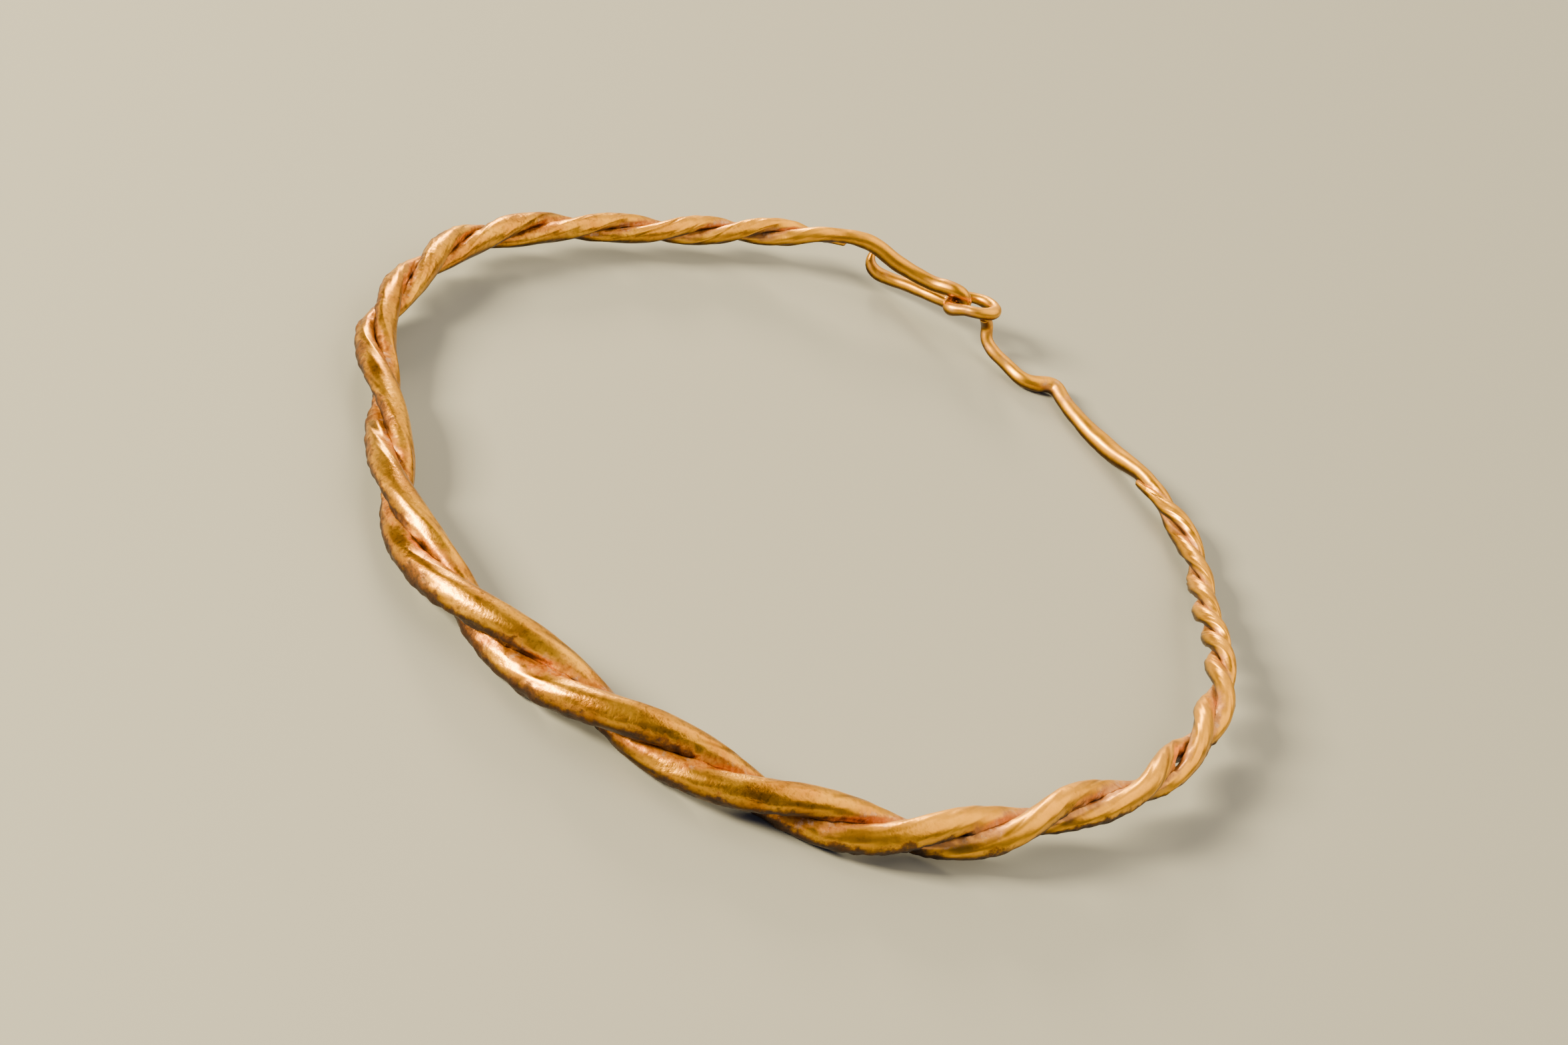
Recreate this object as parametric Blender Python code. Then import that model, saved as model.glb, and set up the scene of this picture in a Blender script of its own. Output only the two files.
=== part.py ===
"""Coiled bracelet: two tapering gold rods, twisted together into a ring that a hook and an eye close.

Metres, +Z up. The bracelet lies on its underside, with the clasp at +Y. The origin is on the table,
below the middle of its box. Bearings are degrees from +X, counter-clockwise as seen from above.
"""
import bisect
import math

import bmesh
import bpy
from mathutils import Matrix, Vector

MM = 0.001

# The rope of two rods runs from the hook's bearing round by the left and the front to the eye's.
RING_RADIUS = 37.0 * MM
RING_OUTLINE_MM = (  # bearing, bulge beyond the ring's radius, height of the rope's middle
    (102, 2.0, 3.8), (108, 1.2, 3.3), (118, 0.1, 2.1), (130, -1.7, 1.9), (142, -1.7, 1.9), (154, -1.0, 2.1),
    (166, 0.1, 2.1), (180, 0.5, 2.0), (192, 0.7, 1.9), (204, -0.8, 2.0), (214, -0.6, 2.1), (226, 0.7, 2.3),
    (240, 0.6, 2.6), (254, -0.4, 2.9), (270, -0.8, 3.3), (284, -1.0, 3.1), (298, -1.0, 3.15), (312, -1.2, 3.95),
    (326, -1.75, 4.8), (340, -0.75, 4.9), (354, -0.2, 4.8), (366, 0.5, 4.6), (376, 0.5, 4.3), (386, 0.6, 3.3),
    (394, 2.1, 2.3), (402, 3.3, 1.9), (410, 3.0, 1.8), (416, 2.6, 1.4),
)

# Left-handed twist: the main rod is on top at the first of these bearings, the second rod at the next.
HALF_TURNS = (105, 115.5, 127.5, 142, 158, 172.5, 187, 206.5, 225, 246.5, 267.5, 288, 306, 323, 341.5,
              356, 367.5, 375.5, 381, 387.3, 394.7, 404, 414)

# Both rods swell towards the front left. Each is oval, with its flatter side against the other.
ROD_SECTIONS_MM = (  # bearing, thickness across the rope, width along the other rod's face
    (102, 1.1, 1.3), (112, 1.1, 1.4), (124, 1.15, 1.6), (140, 1.15, 1.65), (160, 1.3, 1.95),
    (180, 1.4, 1.9), (200, 1.55, 2.1), (221, 1.85, 2.3), (243, 2.3, 2.75), (258, 2.35, 2.7),
    (272, 2.25, 2.7), (292, 2.05, 2.5), (310, 1.9, 2.2), (328, 1.7, 1.95), (345, 1.5, 1.75),
    (362, 1.45, 1.65), (375, 1.15, 1.45), (390, 1.05, 1.4), (403, 1.05, 1.45), (415, 1.4, 1.7),
)
ROD_GAP = 0.3 * MM          # air between the two rods
MAIN_ROPE = (105, 411)      # bearings between which the main rod runs in the rope
SECOND_ROPE = (102.5, 412)  # bearings of the second rod's two tips
SECOND_TIP_SHARE = 0.35     # a tip's size as a share of the rod's
SECOND_TIP_SPREAD = 9       # degrees over which a tip thins

# The clasp's points are along +X, outward and up from here, with the round rod's diameter last.
CLASP_BULGE = 2.4 * MM
HOOK_MM = (
    (-6.4, 1.5, 2.2, 0.5), (-6.3, 1.0, 1.5, 0.9), (-5.6, 0.8, 1.0, 1.15), (-4.1, 1.0, 0.95, 1.25),
    (-1.6, 0.8, 1.5, 1.2), (0.8, 0.3, 1.9, 1.15), (2.3, 0.1, 1.9, 1.15), (3.3, 0.1, 2.4, 1.2),
    (3.6, 0.2, 3.1, 1.25), (3.1, 0.1, 3.85, 1.3), (2.0, -0.2, 4.15, 1.35), (0.0, 0.0, 3.55, 1.35),
    (-4.0, -0.2, 3.55, 1.5), (-6.6, -0.6, 4.2, 1.5),
)
WIRE_MM = (
    (20.6, -5.1, 1.0, 1.8), (17.3, -3.3, 0.9, 1.5), (14.9, -1.5, 0.9, 1.4), (14.1, -0.7, 0.95, 1.4),
    (13.3, -0.8, 0.85, 1.4), (12.2, -1.6, 0.75, 1.45), (11.2, -2.0, 0.75, 1.35), (9.5, -1.3, 0.75, 1.25),
    (8.2, -1.1, 1.0, 1.15), (7.0, -0.7, 1.2, 1.1), (6.3, -0.4, 1.7, 1.05), (6.0, 0.0, 2.4, 1.05),
    (5.6, -0.4, 3.2, 1.05), (5.3, -0.8, 3.7, 1.0),
)
EYE_CENTRE_MM = (3.6, 0.3, 3.45)
EYE_RADIUS_ALONG = 2.25 * MM
EYE_RADIUS_ACROSS = 1.8 * MM
EYE_TILT_ALONG = 0.28       # rise towards +X
EYE_TILT_ACROSS = -0.2      # rise outward
EYE_WIRE_THIN = 1.0 * MM    # at the side that the hook holds
EYE_WIRE_THICK = 1.3 * MM   # at the side that the stem joins
EYE_SIDES = 28

ROD_SIDES = 10              # an even number
INNER_FLATNESS = 0.35       # 0 gives an ellipse, more squares the side that faces the other rod
ROPE_FACET = 1.25 * MM      # length of a facet along the rope
CLASP_FACET = 0.8 * MM      # longest facet along the hook and the wire

# The ring is a little warped, so it is tipped until three spots of its underside reach the table.
TIP_ABOUT_X = math.radians(0.77)
TIP_ABOUT_Y = math.radians(1.24)
WORN_FLAT = 0.12 * MM       # depth of the flat spots where it touches


def along(keys, values, at):
    """Smooth curve through the values at the rising keys, with each slope taken from its neighbours."""
    last = len(keys) - 1
    i = min(max(bisect.bisect_right(keys, at) - 1, 0), last - 1)

    def slope(j):
        if j == 0 or j == last:
            k = min(j, last - 1)
            return (values[k + 1] - values[k]) / (keys[k + 1] - keys[k])
        before, after = keys[j] - keys[j - 1], keys[j + 1] - keys[j]
        rise_before = (values[j] - values[j - 1]) / before
        rise_after = (values[j + 1] - values[j]) / after
        return (rise_before * after + rise_after * before) / (before + after)

    span = keys[i + 1] - keys[i]
    t = (at - keys[i]) / span
    start, end = 2 * t**3 - 3 * t**2 + 1, 3 * t**2 - 2 * t**3
    leave, arrive = (t**3 - 2 * t**2 + t) * span, (t**3 - t**2) * span
    return values[i] * start + values[i + 1] * end + slope(i) * leave + slope(i + 1) * arrive


def rope_middle(bearing):
    """Point on the line that the two rods twist round."""
    bearings, bulges, heights = zip(*RING_OUTLINE_MM)
    radius = RING_RADIUS + along(bearings, bulges, bearing) * MM
    turn = math.radians(bearing)
    height = along(bearings, heights, bearing) * MM
    return Vector((radius * math.cos(turn), radius * math.sin(turn), height))


def rod_section(bearing):
    bearings, thicknesses, widths = zip(*ROD_SECTIONS_MM)
    return along(bearings, thicknesses, bearing) * MM, along(bearings, widths, bearing) * MM


def second_share(bearing):
    """The second rod thins to a blunt point at both ends of the rope."""
    from_tip = min(bearing - SECOND_ROPE[0], SECOND_ROPE[1] - bearing) / SECOND_TIP_SPREAD
    share = min(max(from_tip, 0), 1)
    return SECOND_TIP_SHARE + (1 - SECOND_TIP_SHARE) * share * share * (3 - 2 * share)


def rope_key(bearing, main):
    """One rod's centre, thickness, width and outer side at a bearing of the rope."""
    ahead = rope_middle(bearing + 0.5) - rope_middle(bearing - 0.5)
    outward = ahead.cross(Vector((0, 0, 1))).normalized()
    upward = outward.cross(ahead).normalized()
    angle = -math.pi * along(HALF_TURNS, range(len(HALF_TURNS)), bearing)
    away = upward * math.cos(angle) + outward * math.sin(angle)
    thickness, width = rod_section(bearing)
    share = second_share(bearing)
    main_off = (share * thickness + ROD_GAP) / 2
    second_off = (thickness + ROD_GAP) / 2
    if main:
        return rope_middle(bearing) + away * main_off, thickness, width, away
    return rope_middle(bearing) - away * second_off, thickness * share, width * share, -away


def rope_keys(limits, main):
    count = math.ceil(math.radians(limits[1] - limits[0]) * RING_RADIUS / ROPE_FACET)
    step = (limits[1] - limits[0]) / count
    return [rope_key(limits[0] + step * i, main) for i in range(count + 1)]


def clasp_point(x, outward, up):
    return Vector((x * MM, RING_RADIUS + CLASP_BULGE + outward * MM, up * MM))


def clasp_keys(rows):
    """Round stretches, whose outer side is left to follow from the rope's."""
    return [(clasp_point(*row[:3]), row[3] * MM, row[3] * MM, None) for row in rows]


def smooth_rings(keys):
    """Rings along a rod's smooth centre line, no further apart than a facet's length."""
    places, thicknesses, widths, sides = zip(*keys)
    reach = [0.0]
    for a, b in zip(places, places[1:]):
        reach.append(reach[-1] + (b - a).length)
    rings = []
    for k, (low, high) in enumerate(zip(reach, reach[1:])):
        count = 1 if sides[k] and sides[k + 1] else math.ceil((high - low) / CLASP_FACET)
        for i in range(count):
            at = low + (high - low) * i / count
            side = sides[k].lerp(sides[k + 1], i / count) if sides[k] and sides[k + 1] else None
            rings.append([along(reach, places, at), along(reach, thicknesses, at), along(reach, widths, at), side])
    rings.append(list(keys[-1]))
    return rings


def turn_sides(rings):
    """Gives every ring an outer side square to the rod, carried on from the rope into hook and wire."""
    last = len(rings) - 1
    aheads = [(rings[min(i + 1, last)][0] - rings[max(i - 1, 0)][0]).normalized() for i in range(last + 1)]
    known = [i for i, ring in enumerate(rings) if ring[3]]
    order = list(range(known[0], last + 1)) + list(range(known[0] - 1, -1, -1))
    previous = None
    for i in order:
        if i == known[0] - 1:
            previous = rings[known[0]][3]
        flat = 1.0 if rings[i][3] else 0.0
        side = rings[i][3] or previous
        side = (side - aheads[i] * side.dot(aheads[i])).normalized()
        rings[i][3] = previous = side
        rings[i] += [aheads[i], flat]
    return rings


def rod_loft(name, keys, collection):
    """A rod lofted from oval sections in the rope to round ones in the hook and the wire."""
    shape = bmesh.new()
    loops = []
    for centre, thickness, width, side, ahead, flat in turn_sides(smooth_rings(keys)):
        across = ahead.cross(side)
        loop = []
        for i in range(ROD_SIDES):
            turn = 2 * math.pi * i / ROD_SIDES
            out, over = math.cos(turn), math.sin(turn)
            if out < 0:
                out = -(abs(out) ** (1 - INNER_FLATNESS * flat))
            loop.append(shape.verts.new(centre + side * out * thickness / 2 + across * over * width / 2))
        loops.append(loop)
    for a, b in zip(loops, loops[1:]):
        for i in range(ROD_SIDES):
            j = (i + 1) % ROD_SIDES
            shape.faces.new((a[i], a[j], b[j], b[i]))
    shape.faces.new(loops[0])
    shape.faces.new(loops[-1])
    bmesh.ops.recalc_face_normals(shape, faces=shape.faces)
    return finished(name, shape, collection)


def eye_ring(name, collection):
    """Closed ring of round wire, thicker at the side that the stem joins."""
    curve = bpy.data.curves.new(name, "CURVE")
    curve.dimensions = "3D"
    curve.bevel_depth = 1
    curve.bevel_resolution = ROD_SIDES // 2 - 2  # gives the rod's number of sides
    spline = curve.splines.new("POLY")
    spline.points.add(EYE_SIDES - 1)
    spline.use_cyclic_u = True
    centre = clasp_point(*EYE_CENTRE_MM)
    for i, knot in enumerate(spline.points):
        turn = 2 * math.pi * i / EYE_SIDES
        x, y = EYE_RADIUS_ALONG * math.cos(turn), EYE_RADIUS_ACROSS * math.sin(turn)
        rise = EYE_TILT_ALONG * x + EYE_TILT_ACROSS * y
        share = (1 + math.cos(turn)) / 2
        knot.co = (*(centre + Vector((x, y, rise))), 1)
        knot.radius = (EYE_WIRE_THIN + (EYE_WIRE_THICK - EYE_WIRE_THIN) * share) / 2
    guide = bpy.data.objects.new(name, curve)
    collection.objects.link(guide)
    mesh = bpy.data.meshes.new_from_object(guide.evaluated_get(bpy.context.evaluated_depsgraph_get()))
    bpy.data.objects.remove(guide)
    shape = bmesh.new()
    shape.from_mesh(mesh)
    bpy.data.meshes.remove(mesh)
    return finished(name, shape, collection)


def settle(things):
    """Tips the pieces to their resting plane, with their box centred and their lowest spots below it."""
    tip = Matrix.Rotation(TIP_ABOUT_X, 4, "X") @ Matrix.Rotation(TIP_ABOUT_Y, 4, "Y")
    for thing in things:
        thing.data.transform(tip)
    places = [vertex.co for thing in things for vertex in thing.data.vertices]
    low, high = (Vector([pick(place[axis] for place in places) for axis in range(3)]) for pick in (min, max))
    middle = (low + high) / 2
    shift = Matrix.Translation((-middle.x, -middle.y, -low.z - WORN_FLAT))
    for thing in things:
        thing.data.transform(shift)


def table_block(name, collection):
    shape = bmesh.new()
    bmesh.ops.create_cube(shape, size=1)
    width = 3 * RING_RADIUS
    bmesh.ops.scale(shape, vec=(width, width, width), verts=shape.verts)
    bmesh.ops.translate(shape, vec=(0, 0, -width / 2), verts=shape.verts)
    return finished(name, shape, collection)


def finished(name, shape, collection):
    mesh = bpy.data.meshes.new(name)
    shape.to_mesh(mesh)
    shape.free()
    mesh.shade_smooth()
    thing = bpy.data.objects.new(name, mesh)
    collection.objects.link(thing)
    return thing


def boolean(target, tool, operation):
    change = target.modifiers.new(tool.name, "BOOLEAN")
    change.object = tool
    change.operation = operation
    tool.hide_render = True
    tool.display_type = "WIRE"


def gold(name, colour, roughness):
    material = bpy.data.materials.new(name)
    material.use_nodes = True
    shader = material.node_tree.nodes["Principled BSDF"]
    shader.inputs["Base Color"].default_value = (*colour, 1)
    shader.inputs["Metallic"].default_value = 1
    shader.inputs["Roughness"].default_value = roughness
    return material


def build():
    for thing in list(bpy.data.objects):
        bpy.data.objects.remove(thing)
    bracelet = bpy.data.collections.new("coiled_bracelet")
    tools = bpy.data.collections.new("cutters")
    for collection in (bracelet, tools):
        bpy.context.scene.collection.children.link(collection)
    main_keys = clasp_keys(HOOK_MM) + rope_keys(MAIN_ROPE, True) + clasp_keys(WIRE_MM)
    main_rod = rod_loft("main_rod", main_keys, bracelet)
    second_rod = rod_loft("second_rod", rope_keys(SECOND_ROPE, False), bracelet)
    eye = eye_ring("eye", tools)
    settle((main_rod, second_rod, eye))

    table = table_block("table", tools)
    boolean(main_rod, eye, "UNION")
    boolean(main_rod, table, "DIFFERENCE")
    boolean(second_rod, table, "DIFFERENCE")
    main_rod.data.materials.append(gold("main_rod_gold", (0.80, 0.52, 0.17), 0.3))
    second_rod.data.materials.append(gold("second_rod_gold", (0.78, 0.50, 0.16), 0.32))


build()
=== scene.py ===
import bisect
import math
from functools import partial

import bpy
from mathutils import Matrix, Vector


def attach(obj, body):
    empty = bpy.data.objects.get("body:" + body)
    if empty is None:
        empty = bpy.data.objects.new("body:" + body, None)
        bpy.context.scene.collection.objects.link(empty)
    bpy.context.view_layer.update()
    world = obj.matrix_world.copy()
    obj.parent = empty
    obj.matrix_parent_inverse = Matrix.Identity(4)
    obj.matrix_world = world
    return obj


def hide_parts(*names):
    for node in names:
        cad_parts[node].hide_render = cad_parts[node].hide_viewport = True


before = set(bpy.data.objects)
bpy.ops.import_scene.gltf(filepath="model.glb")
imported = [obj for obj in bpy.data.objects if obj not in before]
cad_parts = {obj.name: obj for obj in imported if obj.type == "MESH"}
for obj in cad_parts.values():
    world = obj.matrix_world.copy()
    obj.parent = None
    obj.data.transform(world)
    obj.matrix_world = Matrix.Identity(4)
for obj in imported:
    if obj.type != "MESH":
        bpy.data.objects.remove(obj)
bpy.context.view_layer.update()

mm = 0.001


def fromHex(code):  # sRGB hex to the linear colour that Blender's shaders read
    parts = [int(code[i:i + 2], 16) / 255 for i in (0, 2, 4)]
    return tuple(c / 12.92 if c <= 0.04045 else ((c + 0.055) / 1.055) ** 2.4 for c in parts) + (1,)


def addNode(tree, kind, *values, **settings):
    # values fill the sockets in order; a setting is a property of the node or a socket, with _ for a space
    node = tree.nodes.new(kind)
    named = {}
    for name, value in settings.items():
        if hasattr(node, name):
            setattr(node, name, value)
        else:
            named[name.replace("_", " ")] = value
    shown = [socket for socket in node.inputs if socket.enabled]
    pairs = list(zip(shown, values))
    for name, value in named.items():
        pairs.append((next(socket for socket in shown if socket.name == name), value))
    for socket, value in pairs:
        if isinstance(value, bpy.types.Node):
            value = next(output for output in value.outputs if output.enabled)
        if isinstance(value, bpy.types.NodeSocket):
            tree.links.new(value, socket)
        else:
            socket.default_value = value
    return node


# The twist: two rods from the hook round by the left and the front to the eye.
# Bearings are degrees from +X, counter-clockwise, before the ring is tipped onto its three resting spots.
rope = {
    "radius": 37.0 * mm,
    "outline": (  # bearing, bulge and height in mm
        (102, 2.0, 3.8), (108, 1.2, 3.3), (118, 0.1, 2.1), (130, -1.7, 1.9), (142, -1.7, 1.9),
        (154, -1.0, 2.1), (166, 0.1, 2.1), (180, 0.5, 2.0), (192, 0.7, 1.9), (204, -0.8, 2.0),
        (214, -0.6, 2.1), (226, 0.7, 2.3), (240, 0.6, 2.6), (254, -0.4, 2.9), (270, -0.8, 3.3),
        (284, -1.0, 3.1), (298, -1.0, 3.15), (312, -1.2, 3.95), (326, -1.75, 4.8), (340, -0.75, 4.9),
        (354, -0.2, 4.8), (366, 0.5, 4.6), (376, 0.5, 4.3), (386, 0.6, 3.3), (394, 2.1, 2.3),
        (402, 3.3, 1.9), (410, 3.0, 1.8), (416, 2.6, 1.4)),
    "halfTurns": (  # bearings where the rods have changed places once more
        105, 115.5, 127.5, 142, 158, 172.5, 187, 206.5, 225, 246.5, 267.5, 288, 306, 323, 341.5, 356, 367.5,
        375.5, 381, 387.3, 394.7, 404, 414),
    "sections": (  # bearing, thickness across the rope and width along the other rod's face, in mm
        (102, 1.1, 1.3), (112, 1.1, 1.4), (124, 1.15, 1.6), (140, 1.15, 1.65), (160, 1.3, 1.95),
        (180, 1.4, 1.9), (200, 1.55, 2.1), (221, 1.85, 2.3), (243, 2.3, 2.75), (258, 2.35, 2.7),
        (272, 2.25, 2.7), (292, 2.05, 2.5), (310, 1.9, 2.2), (328, 1.7, 1.95), (345, 1.5, 1.75),
        (362, 1.45, 1.65), (375, 1.15, 1.45), (390, 1.05, 1.4), (403, 1.05, 1.45), (415, 1.4, 1.7)),
    "gap": 0.3 * mm,         # the solids' air, which the dressed rods close by leaning on each other
    "openAt": (348.5, 3.0),  # where light shows between the rods: bearing and reach in degrees
    "main": (105, 411),      # first and last bearing of each rod in the twist
    "second": (103.6, 412),
    "tipShare": 0.46,        # the second rod's tips against its full size, and the degrees it thins over
    "tipSpread": 8,
    "pressed": (3.0, 4.0, 0.86),  # degrees of tip that touch the main rod, degrees of approach, closeness
    "keyStep": 0.6 * mm,
    "ringStep": 0.3 * mm,
    "fadeRings": 5,          # rings over which the rope's section goes over into plain wire
    "easePasses": 6,
    "satinRight": (284, 24),  # bearing where the even satin skin begins, which is also painted lighter, and degrees until it is full
    "satinBack": (150, 40),
    "tip": Matrix.Rotation(math.radians(0.77), 4, "X") @ Matrix.Rotation(math.radians(1.24), 4, "Y"),
    "shift": Vector((0.0033, -1.8595, -0.2556)) * mm,  # centres the box and lowers the spots to be worn
}


def along(keys, values, at):  # smooth curve through the values at the rising keys
    last = len(keys) - 1
    i = min(max(bisect.bisect_right(keys, at) - 1, 0), last - 1)

    def slope(j):
        if j == 0 or j == last:
            k = min(j, last - 1)
            return (values[k + 1] - values[k]) / (keys[k + 1] - keys[k])
        before, after = keys[j] - keys[j - 1], keys[j + 1] - keys[j]
        riseBefore = (values[j] - values[j - 1]) / before
        riseAfter = (values[j + 1] - values[j]) / after
        return (riseBefore * after + riseAfter * before) / (before + after)

    span = keys[i + 1] - keys[i]
    t = (at - keys[i]) / span
    start, end = 2 * t**3 - 3 * t**2 + 1, 3 * t**2 - 2 * t**3
    leave, arrive = (t**3 - 2 * t**2 + t) * span, (t**3 - t**2) * span
    return values[i] * start + values[i + 1] * end + slope(i) * leave + slope(i + 1) * arrive


def ropeMiddle(bearing):
    bearings, bulges, heights = zip(*rope["outline"])
    radius = rope["radius"] + along(bearings, bulges, bearing) * mm
    turn = math.radians(bearing)
    return Vector((radius * math.cos(turn), radius * math.sin(turn), along(bearings, heights, bearing) * mm))


def ropeKey(bearing, main):  # place, thickness, width, outer side and bearing of one rod
    ahead = ropeMiddle(bearing + 0.5) - ropeMiddle(bearing - 0.5)
    outward = ahead.cross(Vector((0, 0, 1))).normalized()
    upward = outward.cross(ahead).normalized()
    angle = -math.pi * along(rope["halfTurns"], range(len(rope["halfTurns"])), bearing)
    away = upward * math.cos(angle) + outward * math.sin(angle)
    bearings, thicknesses, widths = zip(*rope["sections"])
    thickness, width = along(bearings, thicknesses, bearing) * mm, along(bearings, widths, bearing) * mm
    fromTip = min(bearing - rope["second"][0], rope["second"][1] - bearing) / rope["tipSpread"]
    share = min(max(fromTip, 0), 1)  # the second rod thins to a blunt tip at both ends
    share = rope["tipShare"] + (1 - rope["tipShare"]) * share * share * (3 - 2 * share)
    if main:
        place = ropeMiddle(bearing) + away * (share * thickness + rope["gap"]) / 2
        return place, thickness, width, away, bearing
    place = ropeMiddle(bearing) - away * (thickness + rope["gap"]) / 2
    return place, thickness * share, width * share, -away, bearing


def ropeKeys(limits, main):
    count = math.ceil(math.radians(limits[1] - limits[0]) * rope["radius"] / rope["keyStep"])
    step = (limits[1] - limits[0]) / count
    return [ropeKey(limits[0] + step * i, main) for i in range(count + 1)]


# The clasp: rows are along +X, outward and up from its base point, with the diameter last, all in mm.
clasp = {
    "bulge": 2.4 * mm,  # of the base point outside the rope's radius
    "hook": (
        (-6.4, 1.5, 2.2, 0.5), (-6.3, 1.0, 1.5, 0.9), (-5.6, 0.8, 1.0, 1.15), (-4.1, 1.0, 0.95, 1.25),
        (-1.6, 0.8, 1.55, 1.2), (0.6, 0.35, 2.1, 1.1), (1.9, 0.2, 2.35, 1.05), (2.8, 0.15, 2.65, 1.1),
        (3.2, 0.2, 3.2, 1.25), (2.9, 0.1, 3.85, 1.3), (2.0, -0.2, 4.15, 1.35), (0.0, 0.0, 3.55, 1.35),
        (-4.0, -0.2, 3.55, 1.5), (-6.6, -0.6, 4.2, 1.5)),
    "wire": (
        (20.6, -5.1, 1.0, 1.8), (17.3, -3.3, 0.9, 1.5), (14.9, -1.35, 0.9, 1.4), (14.1, -0.5, 0.95, 1.45),
        (13.3, -0.65, 0.85, 1.4), (12.2, -1.6, 0.75, 1.45), (11.2, -2.0, 0.75, 1.35),
        (9.5, -1.3, 0.75, 1.25), (8.2, -1.1, 1.0, 1.15), (7.0, -0.7, 1.2, 1.1), (6.3, -0.4, 1.7, 1.05),
        (6.0, 0.0, 2.4, 1.05), (5.6, -0.4, 3.2, 1.05), (5.3, -0.8, 3.7, 1.0)),
    "eyeCentre": (3.9, 0.3, 3.53),
    "eyeBearing": 80.0,
    "eyeAlong": 1.95 * mm,
    "eyeAcross": 1.8 * mm,
    "eyeRise": (0.28, -0.2),  # towards +X and outward
    "eyeThin": 0.92 * mm,
    "eyeThick": 1.15 * mm,
    "eyeLap": (222, 25, 0.38, 0.4),  # where its end laps over: degrees round, reach, extra thickness, drop
    "lapShift": (0.2 * mm, 0.35 * mm),
    "eyeSteps": 132,
}


def claspPoint(x, outward, up):
    return Vector((x * mm, rope["radius"] + clasp["bulge"] + outward * mm, up * mm))


def claspKeys(rows, bearing):
    return [(claspPoint(*row[:3]), row[3] * mm, row[3] * mm, None, bearing) for row in rows]


def smoothRings(keys):
    # close rings, each with its place, thickness, width, outer side, bearing and share of the rope's section
    places, thicknesses, widths, sides, bearings = zip(*keys)
    reach = [0.0]
    for a, b in zip(places, places[1:]):
        reach.append(reach[-1] + (b - a).length)
    rings = []
    for k, (low, high) in enumerate(zip(reach, reach[1:])):
        inRope = bool(sides[k] and sides[k + 1])
        count = math.ceil((high - low) / rope["ringStep"])
        for i in range(count):
            t = i / count
            at = low + (high - low) * t
            side = sides[k].lerp(sides[k + 1], t) if inRope else None
            bearing = bearings[k] * (1 - t) + bearings[k + 1] * t
            rings.append([along(reach, places, at), along(reach, thicknesses, at), along(reach, widths, at),
                          side, bearing, float(inRope)])
    rings.append(list(keys[-1]) + [float(bool(sides[-1]))])
    shares = [ring[5] for ring in rings]
    for i, ring in enumerate(rings):
        near = shares[max(i - rope["fadeRings"], 0):i + rope["fadeRings"] + 1]
        ring[5] = sum(near) / len(near)
    for _ in range(rope["easePasses"]):  # eases the sharp bends of hook and wire
        places = [ring[0] for ring in rings]
        for i in range(1, len(rings) - 1):
            eased = (places[i - 1] + places[i] * 2 + places[i + 1]) / 4
            rings[i][0] = places[i].lerp(eased, 1 - rings[i][5])
    return rings


def turnSides(rings):  # carries the outer side on from the rope into hook and wire
    last = len(rings) - 1
    aheads = [(rings[min(i + 1, last)][0] - rings[max(i - 1, 0)][0]).normalized() for i in range(last + 1)]
    first = next(i for i, ring in enumerate(rings) if ring[3])
    order = list(range(first, last + 1)) + list(range(first - 1, -1, -1))
    previous = None
    for i in order:
        if i == first - 1:
            previous = rings[first][3]
        side = rings[i][3] or previous
        side = (side - aheads[i] * side.dot(aheads[i])).normalized()
        rings[i][3] = previous = side
        rings[i].append(aheads[i].cross(side))
    return rings


def pressTips(rings, others):  # the second rod's tips lie against the main rod
    for ring in rings:
        fromTip = min(ring[4] - rope["second"][0], rope["second"][1] - ring[4])
        share = min(max(1 - (fromTip - rope["pressed"][0]) / rope["pressed"][1], 0), 1)
        if not share:
            continue
        nearest = min(others, key=lambda other: (other[0] - ring[0]).length)
        away = (ring[0] - nearest[0]).normalized()
        touching = nearest[0] + away * (nearest[1] + ring[1]) * 0.5 * rope["pressed"][2]
        ring[0] = ring[0].lerp(touching, share * share * (3 - 2 * share))


def roundEnd(rings, atStart):  # adds ever smaller rings, up to a dome
    end, beside = (rings[0], rings[1]) if atStart else (rings[-1], rings[-2])
    ahead = (end[0] - beside[0]).normalized()
    extra = []
    for turn in (25, 45, 62, 76, 86):  # degrees round the dome
        share = math.cos(math.radians(turn))
        place = end[0] + ahead * (end[1] / 2 * math.sin(math.radians(turn)))
        extra.append([place, end[1] * share, end[2] * share, *end[3:]])
    return extra[::-1] + rings if atStart else rings + extra


def eyeRings():
    centre = claspPoint(*clasp["eyeCentre"])
    places, sizes = [], []
    for i in range(clasp["eyeSteps"]):
        turn = 2 * math.pi * i / clasp["eyeSteps"]
        x, y = clasp["eyeAlong"] * math.cos(turn), clasp["eyeAcross"] * math.sin(turn)
        middle, breadth, extra, drop = clasp["eyeLap"]
        lap = math.exp(-((math.degrees(turn) - middle) / breadth) ** 2)
        up = clasp["eyeRise"][0] * x + clasp["eyeRise"][1] * y - lap * drop * mm
        back, inward = clasp["lapShift"]
        places.append(centre + Vector((x - lap * back, y - lap * inward, up)))
        size = clasp["eyeThin"] + (clasp["eyeThick"] - clasp["eyeThin"]) * (1 + math.cos(turn)) / 2
        sizes.append(size + lap * extra * mm)
    rings = []
    for i, (place, size) in enumerate(zip(places, sizes)):
        ahead = (places[(i + 1) % len(places)] - places[i - 1]).normalized()
        side = (place - centre).normalized()
        side = (side - ahead * side.dot(ahead)).normalized()
        rings.append([place, size, size, side, clasp["eyeBearing"], 0.0, ahead.cross(side)])
    return rings


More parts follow.
